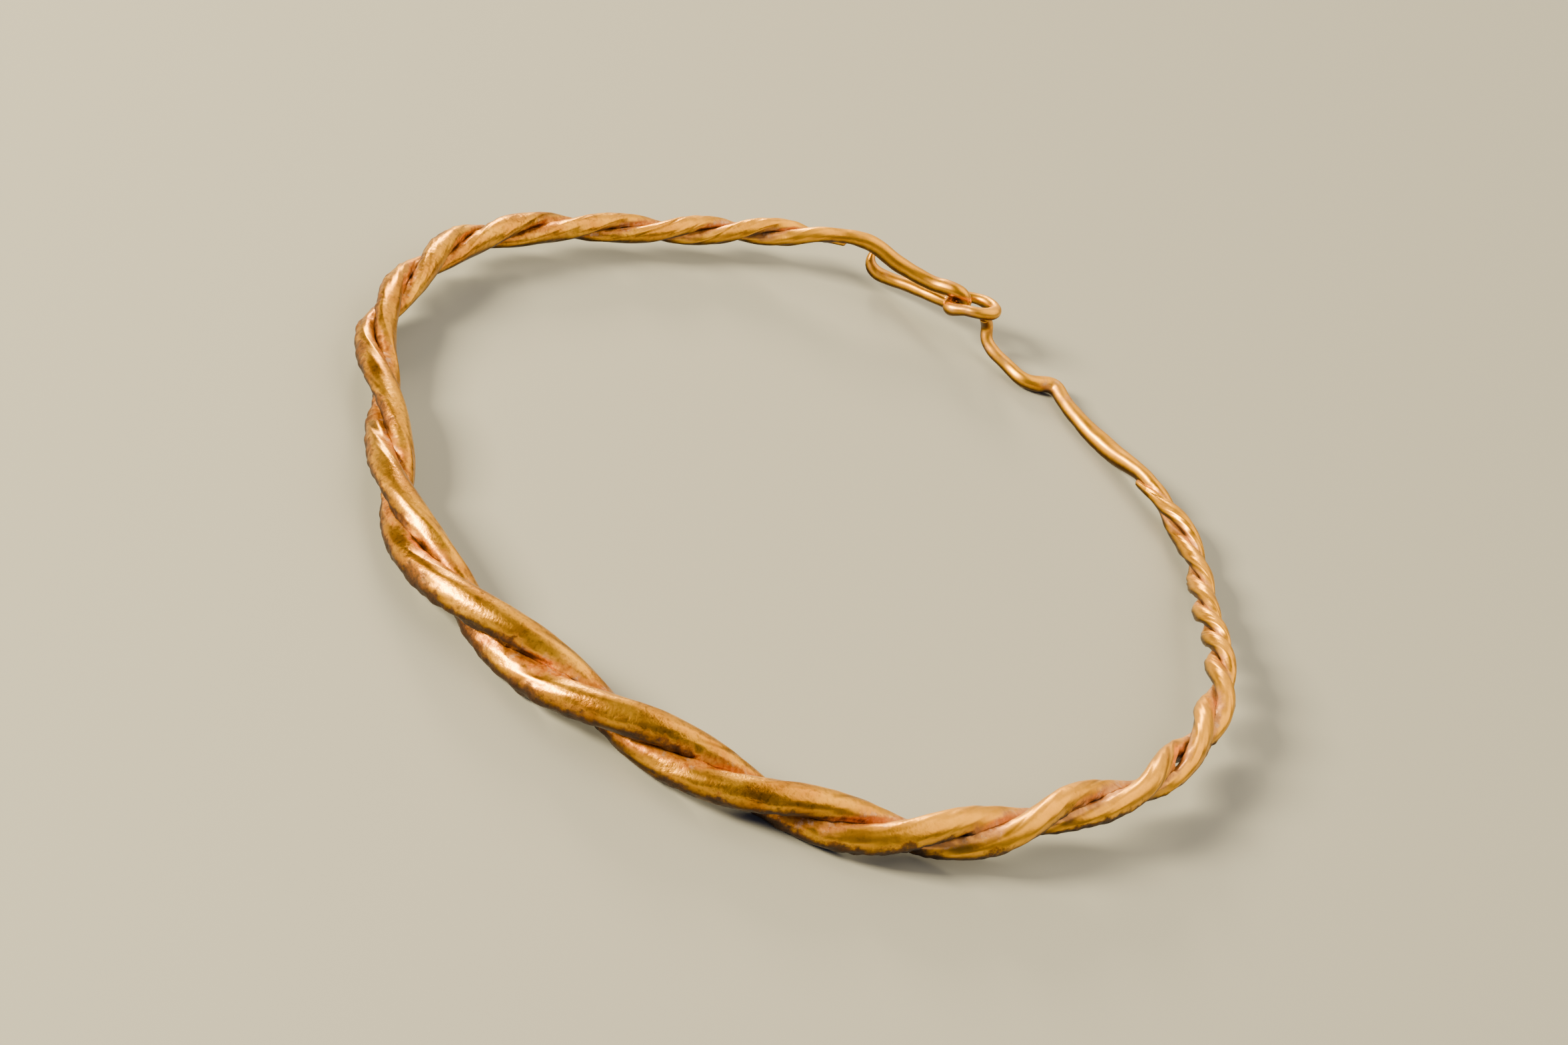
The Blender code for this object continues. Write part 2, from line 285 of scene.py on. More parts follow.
def satinShare(bearing):
    right, back = rope["satinRight"], rope["satinBack"]
    share = (bearing - right[0]) / right[1] if bearing > 200 else (back[0] - bearing) / back[1]
    return min(max(share, 0), 1)


def pathObject(name, rings, closed=False):  # the centre line as a mesh, with what tree and material read
    settle = Matrix.Translation(rope["shift"]) @ rope["tip"]
    turned = rope["tip"].to_3x3()
    count = len(rings)
    edges = [(i, i + 1) for i in range(count - 1)] + ([(count - 1, 0)] if closed else [])
    mesh = bpy.data.meshes.new(name)
    mesh.from_pydata([settle @ ring[0] for ring in rings], edges, [])
    reach, total = [], 0.0
    for i, ring in enumerate(rings):
        total += (ring[0] - rings[i - 1][0]).length if i else 0
        reach.append(total)
    columns = {"thickness": [ring[1] for ring in rings], "width": [ring[2] for ring in rings],
               "outerSide": [turned @ ring[3] for ring in rings], "bearing": [ring[4] for ring in rings],
               "inRope": [ring[5] for ring in rings], "acrossSide": [turned @ ring[6] for ring in rings],
               "satin": [satinShare(ring[4]) for ring in rings], "reach": reach}
    for title, values in columns.items():
        isVector = isinstance(values[0], Vector)
        attribute = mesh.attributes.new(title, "FLOAT_VECTOR" if isVector else "FLOAT", "POINT")
        flat = [part for value in values for part in value] if isVector else values
        attribute.data.foreach_set("vector" if isVector else "value", flat)
    thing = bpy.data.objects.new(name, mesh)
    bpy.context.scene.collection.objects.link(thing)
    return thing


rodSurface = {  # what shows on the rods, in the tree's own input names
    "Sides": 68,
    "Inner Flatness": 0.35,
    "Gap": rope["gap"],
    "Open At": rope["openAt"][0],
    "Open Reach": rope["openAt"][1],
    "Fill Least": 0.2,           # soil in the grooves, as a share of half the rod's width
    "Fill Most": 0.72,
    "Fill Change": 7.0,          # degrees of bearing over which it changes
    "Facet Depth": 0.05 * mm,    # long uneven facets from hammering
    "Facet Length": 7.0,         # mm
    "Dent Depth": 0.02 * mm,
    "Dents": 500.0,              # a metre, so shallow dents 2 mm apart
    "Crease Depth": 0.05 * mm,
    "Crease Breadth": 0.15,      # radians round the rod
    "Crease Wander": 1.6,        # radians, for the full range of its noise
    "Grit": 0.09 * mm,           # roughness of the soil crust
    "Grit Grains": 1150.0,       # a metre
    "Soil Patches": 330.0,       # a metre
}


def rodTree():
    tree = bpy.data.node_groups.new("twistedRod", "GeometryNodeTree")
    face = tree.interface
    face.new_socket("Geometry", in_out="INPUT", socket_type="NodeSocketGeometry")
    for title, value in {**rodSurface, "Groove Sign": 1.0, "Seed": 1.0}.items():
        kind = "NodeSocketInt" if isinstance(value, int) else "NodeSocketFloat"
        face.new_socket(title, in_out="INPUT", socket_type=kind)
    face.new_socket("Finish", in_out="INPUT", socket_type="NodeSocketMaterial")
    face.new_socket("Geometry", in_out="OUTPUT", socket_type="NodeSocketGeometry")
    add = partial(addNode, tree)
    given = add("NodeGroupInput").outputs
    thickness, width, bearing, inRope, reach, turn, middle, outerSide, acrossSide = (
        add("GeometryNodeInputNamedAttribute", title, data_type=kind) for title, kind in (
            ("thickness", "FLOAT"), ("width", "FLOAT"), ("bearing", "FLOAT"), ("inRope", "FLOAT"),
            ("reach", "FLOAT"), ("turn", "FLOAT"), ("middle", "FLOAT_VECTOR"), ("outerSide", "FLOAT_VECTOR"),
            ("acrossSide", "FLOAT_VECTOR")))

    # sweep a circle along the path, and keep how far round each point is
    circle = add("GeometryNodeCurvePrimitiveCircle", given["Sides"], Radius=mm)
    factor = add("GeometryNodeSplineParameter").outputs["Factor"]
    turned = add("GeometryNodeStoreNamedAttribute", circle, Name="turn", data_type="FLOAT",
                 Value=add("ShaderNodeMath", factor, 2 * math.pi, operation="MULTIPLY"))
    placed = add("GeometryNodeStoreNamedAttribute", given["Geometry"], Name="middle",
                 data_type="FLOAT_VECTOR", Value=add("GeometryNodeInputPosition"))
    path = add("GeometryNodeMeshToCurve", placed)
    swept = add("GeometryNodeCurveToMesh", path, turned, Fill_Caps=True)

    # oval section with a flatter inner side, which reaches the other rod's
    out = add("ShaderNodeMath", turn, operation="COSINE")
    over = add("ShaderNodeMath", turn, operation="SINE")
    inner = add("ShaderNodeMath", out, 0.0, operation="LESS_THAN")
    power = add("ShaderNodeMath", given["Inner Flatness"], inRope, operation="MULTIPLY")
    power = add("ShaderNodeMath", 1.0, power, operation="SUBTRACT")
    flatter = add("ShaderNodeMath", add("ShaderNodeMath", out, operation="ABSOLUTE"), power,
                  operation="POWER")
    flatter = add("ShaderNodeMath", flatter, -1.0, operation="MULTIPLY")
    shaped = add("ShaderNodeMix", inner, out, flatter, data_type="FLOAT")
    fromOpen = add("ShaderNodeMath", bearing, given["Open At"], operation="SUBTRACT")
    fromOpen = add("ShaderNodeMath", fromOpen, operation="ABSOLUTE")
    shut = add("ShaderNodeMapRange", fromOpen, From_Min=0.4, From_Max=given["Open Reach"], To_Min=-0.6,
               To_Max=0.98)
    lean = add("ShaderNodeMath", given["Gap"], 0.5, operation="MULTIPLY")
    lean = add("ShaderNodeMath", lean, add("ShaderNodeMath", shut, inRope, operation="MULTIPLY"),
               operation="MULTIPLY")
    notThin = add("ShaderNodeMapRange", thickness, From_Max=0.8 * mm)
    lean = add("ShaderNodeMath", lean, notThin, operation="MULTIPLY")
    half = add("ShaderNodeMath", thickness, 0.5, operation="MULTIPLY")
    deepest = add("ShaderNodeMath", half, lean, operation="ADD")
    reached = add("ShaderNodeMix", inner, half, deepest, data_type="FLOAT")
    halfOut = add("ShaderNodeMath", shaped, reached, operation="MULTIPLY")

    # soil fills the two grooves between the rods, each to its own width that comes and goes
    overSize = add("ShaderNodeMath", over, operation="ABSOLUTE")
    groove = add("ShaderNodeMath", add("ShaderNodeMath", over, operation="SIGN"), given["Groove Sign"],
                 operation="MULTIPLY")
    apart = add("ShaderNodeMath", groove, 40.0, operation="MULTIPLY")
    spot = add("ShaderNodeMath", bearing, given["Fill Change"], operation="DIVIDE")
    spot = add("ShaderNodeMath", spot, apart, operation="ADD")
    fillNoise = add("ShaderNodeTexNoise", noise_dimensions="1D", W=spot, Scale=1.0, Detail=2.0)
    fillTo = add("ShaderNodeMapRange", fillNoise, From_Min=0.35, From_Max=0.65, To_Min=given["Fill Least"],
                 To_Max=given["Fill Most"])
    fillEnd = add("ShaderNodeMath", fillTo, 0.2, operation="ADD")
    fill = add("ShaderNodeMapRange", overSize, From_Min=fillTo, From_Max=fillEnd, To_Min=1.0, To_Max=0.0,
               interpolation_type="SMOOTHSTEP")
    fill = add("ShaderNodeMath", fill, add("ShaderNodeMath", inner, inRope, operation="MULTIPLY"),
               operation="MULTIPLY")
    fill = add("ShaderNodeMath", fill, add("ShaderNodeMath", shut, 0.5, operation="GREATER_THAN"),
               operation="MULTIPLY")
    facing = add("ShaderNodeMath", deepest, -1.0, operation="MULTIPLY")
    filled = add("ShaderNodeMix", fill, halfOut, facing, data_type="FLOAT")
    halfOver = add("ShaderNodeMath", over, add("ShaderNodeMath", width, 0.5, operation="MULTIPLY"),
                   operation="MULTIPLY")
    sideways = add("ShaderNodeVectorMath", outerSide, operation="SCALE", Scale=filled)
    across = add("ShaderNodeVectorMath", acrossSide, operation="SCALE", Scale=halfOver)
    offset = add("ShaderNodeVectorMath", sideways, across, operation="ADD")
    surface = add("ShaderNodeVectorMath", middle, offset, operation="ADD")
    formed = add("GeometryNodeSetPosition", swept, Position=surface)
    closeness = add("ShaderNodeMath", filled, facing, operation="DIVIDE")
    seam = add("ShaderNodeMapRange", closeness, From_Min=0.86, From_Max=0.99)
    seam = add("ShaderNodeMath", seam, add("ShaderNodeMath", inner, inRope, operation="MULTIPLY"),
               operation="MULTIPLY")
    formed = add("GeometryNodeStoreNamedAttribute", formed, Name="seam", Value=seam, data_type="FLOAT")

    # two creases wander along each rod and come and go: radians round it, mm for a change, and an offset
    reachMm = add("ShaderNodeMath", reach, mm, operation="DIVIDE")
    crease = None
    for base, spacing, phase in ((0.9, 14.0, 3.7), (-1.5, 19.0, 51.3)):
        at = add("ShaderNodeMath", add("ShaderNodeMath", reachMm, spacing, operation="DIVIDE"),
                 add("ShaderNodeMath", given["Seed"], phase, operation="ADD"), operation="ADD")
        drift = add("ShaderNodeTexNoise", noise_dimensions="1D", W=at, Scale=1.0, Detail=1.0)
        drift = add("ShaderNodeMath", drift, 0.5, operation="SUBTRACT")
        swing = add("ShaderNodeMath", drift, given["Crease Wander"], operation="MULTIPLY")
        fromMiddle = add("ShaderNodeMath", turn, add("ShaderNodeMath", swing, base, operation="ADD"),
                         operation="SUBTRACT")
        nearness = add("ShaderNodeMath", add("ShaderNodeMath", fromMiddle, operation="COSINE"), 1.0,
                       operation="SUBTRACT")
        breadth = add("ShaderNodeMath", given["Crease Breadth"], 2.0, operation="POWER")
        line = add("ShaderNodeMath", add("ShaderNodeMath", nearness, breadth, operation="DIVIDE"),
                   operation="EXPONENT")
        here = add("ShaderNodeTexNoise", noise_dimensions="1D", Scale=1.6, Detail=1.0,
                   W=add("ShaderNodeMath", at, 200.0, operation="ADD"))
        shown = add("ShaderNodeMapRange", here, From_Min=0.42, From_Max=0.6)
        line = add("ShaderNodeMath", line, shown, operation="MULTIPLY")
        crease = add("ShaderNodeMath", crease, line, operation="MAXIMUM") if crease else line
    crease = add("ShaderNodeMath", crease, add("ShaderNodeMapRange", inRope, To_Min=0.15, To_Max=1.0),
                 operation="MULTIPLY")
    formed = add("GeometryNodeStoreNamedAttribute", formed, Name="crease", Value=crease, data_type="FLOAT")

    # soil film on the sides that face the other rod, a crust on the outer and lower flanks, and painted shade
    # that darkens the faces turned down
    position = add("GeometryNodeInputPosition")
    normal = add("GeometryNodeInputNormal")
    patches = add("ShaderNodeTexNoise", noise_dimensions="4D", Vector=position, W=given["Seed"],
                  Scale=given["Soil Patches"], Detail=2.0)
    patches = add("ShaderNodeMath", patches, 0.5, operation="SUBTRACT")
    inside = add("ShaderNodeMath", add("ShaderNodeMath", out, -1.0, operation="MULTIPLY"), inRope,
                 operation="MULTIPLY")
    drive = add("ShaderNodeMath", patches, 1.7, inside, operation="MULTIPLY_ADD")
    film = add("ShaderNodeMapRange", drive, From_Min=-0.1, From_Max=0.55, interpolation_type="SMOOTHSTEP")
    formed = add("GeometryNodeStoreNamedAttribute", formed, Name="film", Value=drive, data_type="FLOAT")
    flat = add("ShaderNodeVectorMath", position, (1.0, 1.0, 0.0), operation="MULTIPLY")
    outward = add("ShaderNodeVectorMath", flat, operation="NORMALIZE")
    faceOut = add("ShaderNodeVectorMath", normal, outward, operation="DOT_PRODUCT").outputs["Value"]
    faceUp = add("ShaderNodeSeparateXYZ", normal).outputs["Z"]
    lower = add("ShaderNodeMath", faceUp, -0.6, add("ShaderNodeMath", faceOut, 0.7, operation="MULTIPLY"),
                operation="MULTIPLY_ADD")
    leftness = add("ShaderNodeSeparateXYZ", position).outputs["X"]
    leftness = add("ShaderNodeMapRange", leftness, From_Min=-38 * mm, From_Max=-12 * mm, To_Min=0.45,
                   To_Max=0.0)
    lower = add("ShaderNodeMath", lower, leftness, operation="ADD")  # more of it at the left
    lower = add("ShaderNodeMath", patches, 1.9, lower, operation="MULTIPLY_ADD")
    crust = add("ShaderNodeMapRange", lower, From_Min=0.55, From_Max=1.0, interpolation_type="SMOOTHSTEP")
    crust = add("ShaderNodeMath", crust, inRope, operation="MULTIPLY")
    formed = add("GeometryNodeStoreNamedAttribute", formed, Name="crust", Value=lower, data_type="FLOAT")
    # painted shade: marks the faces turned down, to be darkened in the material
    underShade = add("ShaderNodeMapRange", faceUp, From_Min=0.36, From_Max=-0.38, interpolation_type="SMOOTHSTEP")
    formed = add("GeometryNodeStoreNamedAttribute", formed, Name="underShade", Value=underShade, data_type="FLOAT")

    # facets, dents, creases and grit move the surface along its normal
    lengthwise = add("ShaderNodeMath", reachMm, given["Facet Length"], operation="DIVIDE")
    ring = add("ShaderNodeCombineXYZ", add("ShaderNodeMath", out, 1.3, operation="MULTIPLY"),
               add("ShaderNodeMath", over, 1.3, operation="MULTIPLY"), lengthwise)
    facets = add("ShaderNodeTexNoise", noise_dimensions="4D", Vector=ring, W=given["Seed"], Scale=1.0,
                 Detail=1.0)
    facets = add("ShaderNodeMath", facets, 0.5, operation="SUBTRACT")
    calmer = add("ShaderNodeMapRange", inRope, To_Min=0.25, To_Max=1.0)
    facets = add("ShaderNodeMath", facets, calmer, operation="MULTIPLY")
    dents = add("ShaderNodeTexNoise", noise_dimensions="4D", Vector=position, W=given["Seed"],
                Scale=given["Dents"], Detail=1.5)
    dents = add("ShaderNodeMath", dents, 0.5, operation="SUBTRACT")
    lumpier = add("ShaderNodeMapRange", inRope, To_Min=2.6, To_Max=1.0)
    dents = add("ShaderNodeMath", dents, lumpier, operation="MULTIPLY")
    grain = add("ShaderNodeTexNoise", noise_dimensions="4D", Vector=position, W=given["Seed"],
                Scale=given["Grit Grains"], Detail=0.0)
    grain = add("ShaderNodeMath", grain, 0.45, operation="SUBTRACT")
    soiled = add("ShaderNodeMath", add("ShaderNodeMath", film, 0.5, operation="MULTIPLY"), crust,
                 operation="MAXIMUM")
    # the noises swing by about a quarter, so each depth counts four times
    facetDepth = add("ShaderNodeMath", given["Facet Depth"], 4.0, operation="MULTIPLY")
    stretch = add("ShaderNodeMath", facets, facetDepth, operation="MULTIPLY")
    dentDepth = add("ShaderNodeMath", given["Dent Depth"], 4.0, operation="MULTIPLY")
    raised = add("ShaderNodeMath", dents, dentDepth, stretch, operation="MULTIPLY_ADD")
    unfilled = add("ShaderNodeMath", 1.0, fill, operation="SUBTRACT")
    raised = add("ShaderNodeMath", raised, unfilled, operation="MULTIPLY")
    creaseDepth = add("ShaderNodeMath", given["Crease Depth"], -1.0, operation="MULTIPLY")
    cut = add("ShaderNodeMath", crease, creaseDepth, raised, operation="MULTIPLY_ADD")
    gritHeight = add("ShaderNodeMath", given["Grit"], 4.0, operation="MULTIPLY")
    gritty = add("ShaderNodeMath", grain, gritHeight, operation="MULTIPLY")
    moved = add("ShaderNodeMath", gritty, soiled, cut, operation="MULTIPLY_ADD")
    push = add("ShaderNodeVectorMath", normal, operation="SCALE", Scale=moved)
    worked = add("GeometryNodeSetPosition", formed, Offset=push)

    # nothing goes below the table, which leaves the worn resting spots flat
    parts = add("ShaderNodeSeparateXYZ", add("GeometryNodeInputPosition")).outputs
    stood = add("ShaderNodeCombineXYZ", parts["X"], parts["Y"],
                add("ShaderNodeMath", parts["Z"], 0.0, operation="MAXIMUM"))
    rested = add("GeometryNodeSetPosition", worked, Position=stood)
    smooth = add("GeometryNodeSetShadeSmooth", rested)
    real = add("GeometryNodeRealizeInstances", smooth)
    add("NodeGroupOutput", add("GeometryNodeSetMaterial", real, Material=given["Finish"]))
    return tree


def grow(name, path, tree, material, **changes):  # runs the tree on a path and gives the plain mesh
    change = path.modifiers.new(tree.name, "NODES")
    change.node_group = tree
    values = {**rodSurface, "Finish": material}
    values.update({key.replace("_", " "): value for key, value in changes.items()})
    for item in tree.interface.items_tree:
        if item.in_out == "INPUT" and item.name in values:
            change[item.identifier] = values[item.name]
    mesh = bpy.data.meshes.new_from_object(path.evaluated_get(bpy.context.evaluated_depsgraph_get()))
    mesh.name = name
    bpy.data.objects.remove(path)
    thing = bpy.data.objects.new(name, mesh)
    bpy.context.scene.collection.objects.link(thing)
    return thing


finish = {
    "gold": ("CA8418", "F4B42A"),     # deeper and paler stretches
    "pits": "7C5A2A",                 # low spots of the mottled skin
    "bareAndLit": "FFBA24",                 # cleaner skin round the right side and the clasp, painted lighter for the light that falls there
    "bareAndLitShare": 0.65,
    "underShade": "241004",                # painted shade of the lower side: a dark brown for faces turned down
    "film": ("A85810", "D88C2C"),     # orange soil, deep and pale
    "hazeAndReflection": "D8AE98",                 # pink haze on the film: a bloom on the soil and a painted reflection
    "soil": ("331A04", "74400C"),     # soil of the crust, dark and pale; the dark one stains the creases
    "seam": "34150C",                 # where the rods meet
    "filmShare": 0.85,                # how far each one hides the gold
    "soilShare": 0.9,
    "creaseShare": 0.5,
    "underShadeShare": 0.92,
    "soilRoughness": 0.62,
    "grain": 0.17 * mm,               # mottling of the skin
    "grainDepth": 0.045 * mm,
    "scratch": 0.09 * mm,             # drawn wider than the real ones, so that they show
    "roughness": (0.29, 0.37),
    "satin": 0.05,                    # roughness added round the right side and the clasp
    "tonePatch": 3.5 * mm,            # sizes of the deeper stretches, the ragged edges of film and soil, the bloom with its painted reflection, the breaks in the dark seam and the worn patches
    "raggedEdge": 0.7 * mm,           # the bloom, the breaks in the dark seam and the worn patches
    "hazeAndReflectionPatch": 0.9 * mm,
    "seamBreak": 1.8 * mm,
    "wornPatch": 5 * mm,
}


def workedGold():
    # High-carat gold, hammered, twisted by hand and polished by wear: a warm satin metal, mottled in grains
    # of a sixth of a millimetre, beneath a thin orange film of soil with a pink bloom and painted reflection
    # where the rods face each other, rough soil on the outer flanks, dark soil in the seams, painted shade on
    # faces turned down, and a cleaner skin painted lighter round the right side and the clasp.
    material = bpy.data.materials.new("workedGold")
    material.use_nodes = True
    tree = material.node_tree
    tree.nodes.clear()
    add = partial(addNode, tree)
    place = add("ShaderNodeTexCoord").outputs["Object"]
    film, crust, crease, seam, underShade, satin, inRope = (
        add("ShaderNodeAttribute", attribute_name=title).outputs["Fac"]
        for title in ("film", "crust", "crease", "seam", "underShade", "satin", "inRope"))
    ragged = add("ShaderNodeTexNoise", Vector=place, Scale=1 / finish["raggedEdge"], Detail=4.0,
                 Roughness=0.65)
    ragged = add("ShaderNodeMath", ragged, 0.5, operation="SUBTRACT")
    film = add("ShaderNodeMath", ragged, 1.1, film, operation="MULTIPLY_ADD")
    film = add("ShaderNodeMapRange", film, From_Min=0.0, From_Max=0.55, interpolation_type="SMOOTHSTEP")
    crust = add("ShaderNodeMath", ragged, 1.3, crust, operation="MULTIPLY_ADD")
    crust = add("ShaderNodeMapRange", crust, From_Min=0.5, From_Max=0.95, interpolation_type="SMOOTHSTEP")
    crust = add("ShaderNodeMath", crust, inRope, operation="MULTIPLY")
    tone = add("ShaderNodeTexNoise", Vector=place, Scale=1 / finish["tonePatch"], Detail=4.0, Roughness=0.6)
    tone = add("ShaderNodeMapRange", tone, From_Min=0.35, From_Max=0.65)
    grain = add("ShaderNodeTexNoise", Vector=place, Scale=1 / finish["grain"] / 2, Detail=3.0, Roughness=0.55)
    fleck = add("ShaderNodeMapRange", grain, From_Min=0.35, From_Max=0.65)
    deep, pale = (fromHex(code) for code in finish["gold"])
    gold = add("ShaderNodeMix", tone, data_type="RGBA", A=deep, B=pale)
    low = add("ShaderNodeMapRange", grain, From_Min=0.5, From_Max=0.3, To_Max=0.7)
    fewest = add("ShaderNodeMapRange", satin, To_Min=0.75, To_Max=0.1)
    patchy = add("ShaderNodeMapRange", tone, From_Min=0.7, From_Max=0.2, To_Min=fewest, To_Max=1.0)
    low = add("ShaderNodeMath", low, patchy, operation="MULTIPLY")
    gold = add("ShaderNodeMix", low, gold, data_type="RGBA", B=fromHex(finish["pits"]))
    # the cleaner skin round the right side and the clasp is painted lighter, as painted light there
    bareAndLitShare = add("ShaderNodeMath", satin, finish["bareAndLitShare"], operation="MULTIPLY")
    gold = add("ShaderNodeMix", bareAndLitShare, gold, data_type="RGBA", B=fromHex(finish["bareAndLit"]))
    deepFilm, paleFilm = (fromHex(code) for code in finish["film"])
    soft = add("ShaderNodeMix", fleck, data_type="RGBA", A=deepFilm, B=paleFilm)
    # a pink haze over the film: a bloom on the soil and a painted reflection, with more of it round the right
    # side
    hazeAndReflectionMask = add("ShaderNodeTexNoise", Vector=place, Scale=1 / finish["hazeAndReflectionPatch"], Detail=4.0, Roughness=0.65)
    hazeAndReflectionMask = add("ShaderNodeMapRange", hazeAndReflectionMask, From_Min=0.56, From_Max=0.66, To_Max=0.8)
    hazeAndReflectionMask = add("ShaderNodeMath", satin, 0.35, hazeAndReflectionMask, operation="MULTIPLY_ADD", use_clamp=True)
    soft = add("ShaderNodeMix", hazeAndReflectionMask, soft, data_type="RGBA", B=fromHex(finish["hazeAndReflection"]))
    darkSoil, paleSoil = (fromHex(code) for code in finish["soil"])
    soil = add("ShaderNodeMix", fleck, data_type="RGBA", A=darkSoil, B=paleSoil)
    filmShare = add("ShaderNodeMath", film, finish["filmShare"], operation="MULTIPLY")
    colour = add("ShaderNodeMix", filmShare, gold, soft, data_type="RGBA")
    crustShare = add("ShaderNodeMath", crust, finish["soilShare"], operation="MULTIPLY")
    colour = add("ShaderNodeMix", crustShare, colour, soil, data_type="RGBA")
    stain = add("ShaderNodeMapRange", crease, From_Min=0.35, From_Max=1.0, To_Max=finish["creaseShare"])
    colour = add("ShaderNodeMix", stain, colour, data_type="RGBA", B=darkSoil)
    broken = add("ShaderNodeTexNoise", Vector=place, Scale=1 / finish["seamBreak"], Detail=2.0)
    broken = add("ShaderNodeMapRange", broken, From_Min=0.42, From_Max=0.56)
    dark = add("ShaderNodeMath", seam, 2.0, operation="POWER")
    dark = add("ShaderNodeMath", dark, broken, operation="MULTIPLY")
    colour = add("ShaderNodeMix", dark, colour, data_type="RGBA", B=fromHex(finish["seam"]))
    # painted shade: faces turned down darken towards a near-black brown, with ragged edges
    shade = add("ShaderNodeMath", ragged, 0.6, underShade, operation="MULTIPLY_ADD")
    shade = add("ShaderNodeMapRange", shade, From_Max=1.0, To_Max=finish["underShadeShare"])
    colour = add("ShaderNodeMix", shade, colour, data_type="RGBA", B=fromHex(finish["underShade"]))

    covered = add("ShaderNodeMath", add("ShaderNodeMath", filmShare, 0.4, operation="MULTIPLY"),
                  add("ShaderNodeMath", crustShare, 0.6, operation="MULTIPLY"), operation="MAXIMUM")
    covered = add("ShaderNodeMath", covered, dark, operation="MAXIMUM")
    metal = add("ShaderNodeMath", 1.0, covered, operation="SUBTRACT")
    rough = add("ShaderNodeMapRange", tone, To_Min=finish["roughness"][0], To_Max=finish["roughness"][1])
    rough = add("ShaderNodeMath", satin, finish["satin"], rough, operation="MULTIPLY_ADD")
    rough = add("ShaderNodeMix", covered, rough, data_type="FLOAT", B=finish["soilRoughness"])

    # fine scratches run in short strokes over the mottled skin
    strokes = add("ShaderNodeMapping", Vector=place, Rotation=(0.3, 0.5, 0.8),
                  Scale=(1 / finish["scratch"], 0.12 / finish["scratch"], 0.3 / finish["scratch"]))
    scratch = add("ShaderNodeTexNoise", Vector=strokes, Scale=0.5, Detail=1.0)
    height = add("ShaderNodeMath", scratch, 0.25, grain, operation="MULTIPLY_ADD")
    uneven = add("ShaderNodeTexNoise", Vector=place, Scale=1 / finish["wornPatch"], Detail=2.0)
    uneven = add("ShaderNodeMapRange", uneven, From_Min=0.38, From_Max=0.6, To_Min=0.3, To_Max=1.0)
    plainer = add("ShaderNodeMapRange", inRope, To_Min=0.3, To_Max=1.0)  # less of it on hook and wire
    uneven = add("ShaderNodeMath", uneven, plainer, operation="MULTIPLY")
    smoother = add("ShaderNodeMapRange", satin, To_Min=1.0, To_Max=0.45)
    uneven = add("ShaderNodeMath", uneven, smoother, operation="MULTIPLY")
    uneven = add("ShaderNodeMath", uneven, crust, operation="ADD")
    bump = add("ShaderNodeBump", Height=height, Strength=uneven, Distance=finish["grainDepth"])
    shader = add("ShaderNodeBsdfPrincipled", Base_Color=colour, Metallic=metal, Roughness=rough, Normal=bump)
    add("ShaderNodeOutputMaterial", shader)
    return material


def makeRods():
    tree = rodTree()
    gold = workedGold()
    keys = claspKeys(clasp["hook"], rope["main"][0]) + ropeKeys(rope["main"], True)
    keys += claspKeys(clasp["wire"], rope["main"][1])
    mainRings = turnSides(smoothRings(keys))
    secondRings = turnSides(smoothRings(ropeKeys(rope["second"], False)))
    pressTips(secondRings, mainRings)
    mainRings = roundEnd(mainRings, True)
    secondRings = roundEnd(roundEnd(secondRings, True), False)
    main = grow("mainRod", pathObject("mainPath", mainRings), tree, gold, Groove_Sign=1.0, Seed=11.0)
    eye = grow("eye", pathObject("eyePath", eyeRings(), closed=True), tree, gold, Sides=48, Seed=12.0)
    join = main.modifiers.new("eye", "BOOLEAN")
    join.operation = "UNION"
    join.solver = "MANIFOLD"  # the exact one mixes up the eye's stored values
    join.object = eye
    mesh = bpy.data.meshes.new_from_object(main.evaluated_get(bpy.context.evaluated_depsgraph_get()))
    main.modifiers.clear()
    main.data = mesh
    bpy.data.objects.remove(eye)
    second = grow("secondRod", pathObject("secondPath", secondRings), tree, gold, Groove_Sign=-1.0, Seed=23.0)
    for rod, node in ((main, "main_rod"), (second, "second_rod")):
        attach(rod, "root")
        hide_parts(node)
        print(rod.name, len(rod.data.vertices), "vertices")


studio = {
    "floor": "A6ACB8",      # cool, to offset some of the lamps' warmth
    "floorRoughness": 0.7,
    "floorReach": 4.0,      # metres from its middle to each side
    "world": ("BEC4DC", 0.23),  # colour and strength
    "lamp": "FFE5A6",
    "lights": {  # degrees from +X counter-clockwise, degrees up, distance, width and brightness as seen
        "key": (-146, 28, 0.7, 0.19, 150.0),
        "side": (120, 20, 0.7, 0.14, 66.0),
        "fill": (25, 50, 0.8, 0.9, 2.4),
        "back": (100, 40, 0.8, 0.9, 1.3),
    },
    "cameraPlace": Vector((3.027, -256.467, 177.156)) * mm,
    "cameraDown": 34.798,     # degrees below the horizon
    "cameraAcross": -0.878,   # degrees from +Y towards +X
    "cameraRoll": 28.999,
    "sensor": 36,
    "lens": 86.62,
}


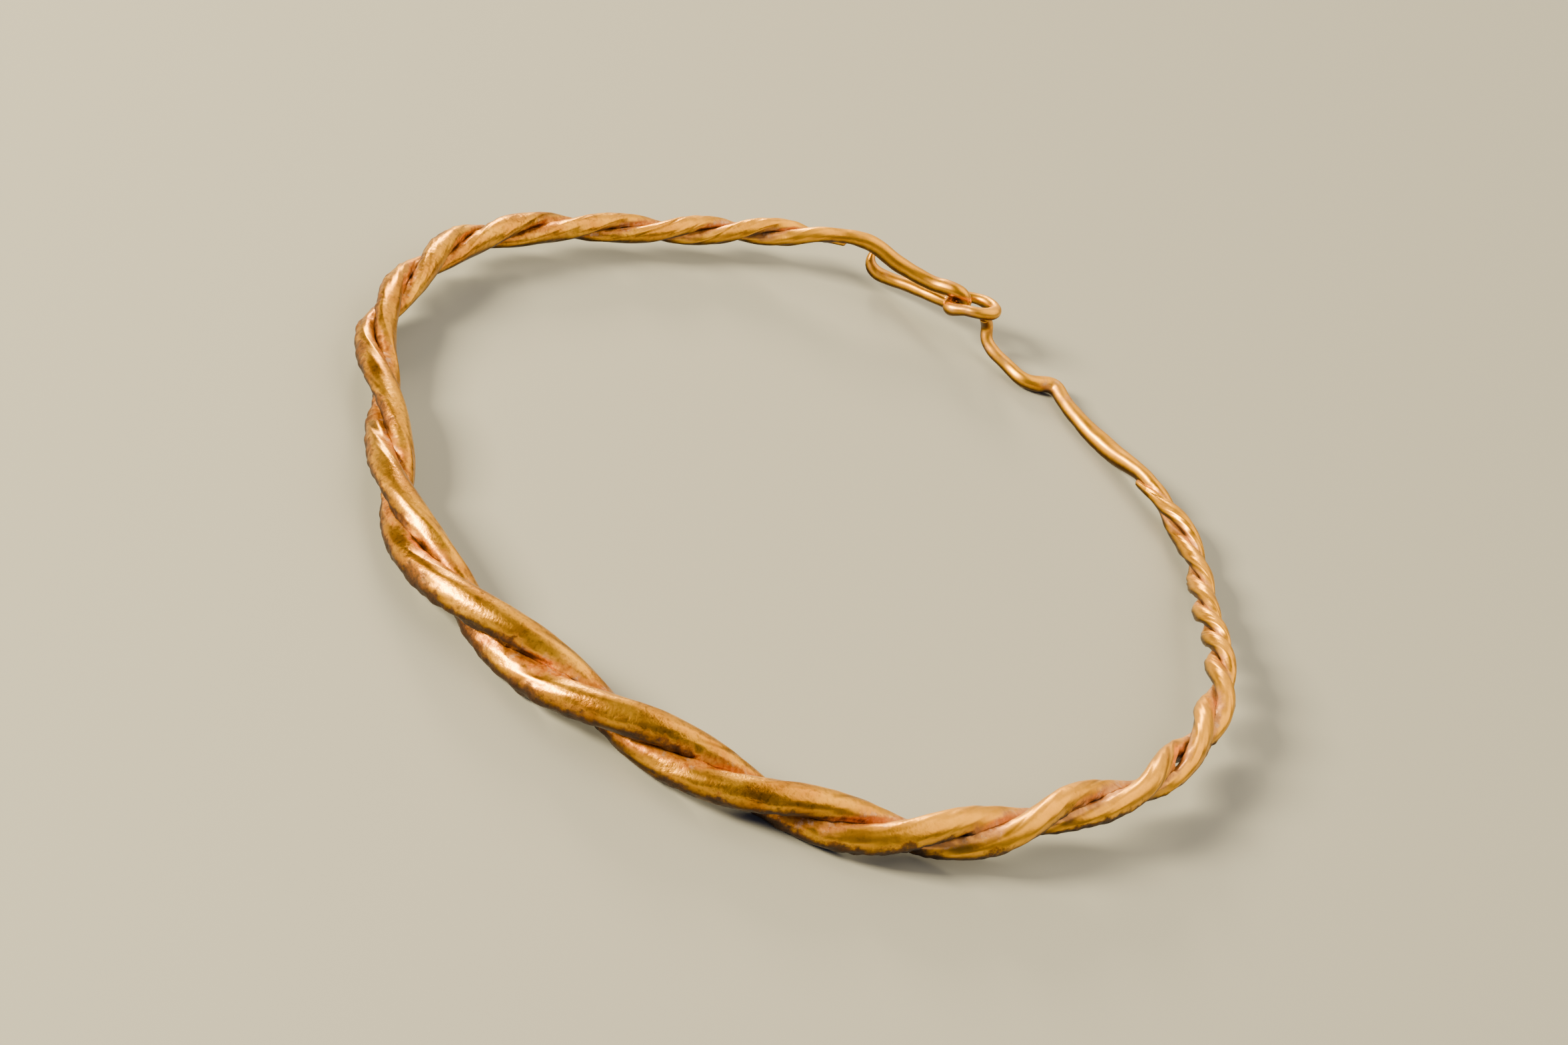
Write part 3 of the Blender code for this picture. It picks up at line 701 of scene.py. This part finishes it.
def makeStudio():
    far = studio["floorReach"]
    floorMesh = bpy.data.meshes.new("floor")
    corners = [(-far, -far, 0), (far, -far, 0), (far, far, 0), (-far, far, 0)]
    floorMesh.from_pydata(corners, [], [(0, 1, 2, 3)])
    floor = bpy.data.objects.new("floor", floorMesh)
    bpy.context.scene.collection.objects.link(floor)
    paint = bpy.data.materials.new("paleFloor")
    paint.use_nodes = True
    shader = paint.node_tree.nodes["Principled BSDF"]
    shader.inputs["Base Color"].default_value = fromHex(studio["floor"])
    shader.inputs["Roughness"].default_value = studio["floorRoughness"]
    floorMesh.materials.append(paint)

    world = bpy.data.worlds.new("studio")
    bpy.context.scene.world = world
    world.use_nodes = True
    sky = world.node_tree.nodes["Background"]
    sky.inputs["Color"].default_value = fromHex(studio["world"][0])
    sky.inputs["Strength"].default_value = studio["world"][1]
    for name, (across, up, distance, width, brightness) in studio["lights"].items():
        data = bpy.data.lights.new(name, "AREA")
        data.size = width
        data.color = fromHex(studio["lamp"])[:3]
        data.energy = brightness * math.pi * width**2  # so that a mirror shows this brightness
        lamp = bpy.data.objects.new(name, data)
        across, up = math.radians(across), math.radians(up)
        towards = Vector((math.cos(across) * math.cos(up), math.sin(across) * math.cos(up), math.sin(up)))
        lamp.location = towards * distance
        lamp.rotation_euler = towards.to_track_quat("Z", "Y").to_euler()
        bpy.context.scene.collection.objects.link(lamp)

    data = bpy.data.cameras.new("camera")
    data.sensor_width = studio["sensor"]
    data.lens = studio["lens"]
    data.clip_start = 0.01
    camera = bpy.data.objects.new("camera", data)
    down, across = math.radians(studio["cameraDown"]), math.radians(studio["cameraAcross"])
    ahead = Vector((math.sin(across) * math.cos(down), math.cos(across) * math.cos(down), -math.sin(down)))
    level = Vector((math.cos(across), -math.sin(across), 0))
    upright = level.cross(ahead)
    roll = math.radians(studio["cameraRoll"])
    right = level * math.cos(roll) + upright * math.sin(roll)
    top = upright * math.cos(roll) - level * math.sin(roll)
    turn = Matrix((right, top, -ahead)).transposed()
    camera.matrix_world = Matrix.Translation(studio["cameraPlace"]) @ turn.to_4x4()
    bpy.context.scene.collection.objects.link(camera)
    bpy.context.scene.camera = camera


makeStudio()
print("studio made")
makeRods()
print("rods made")
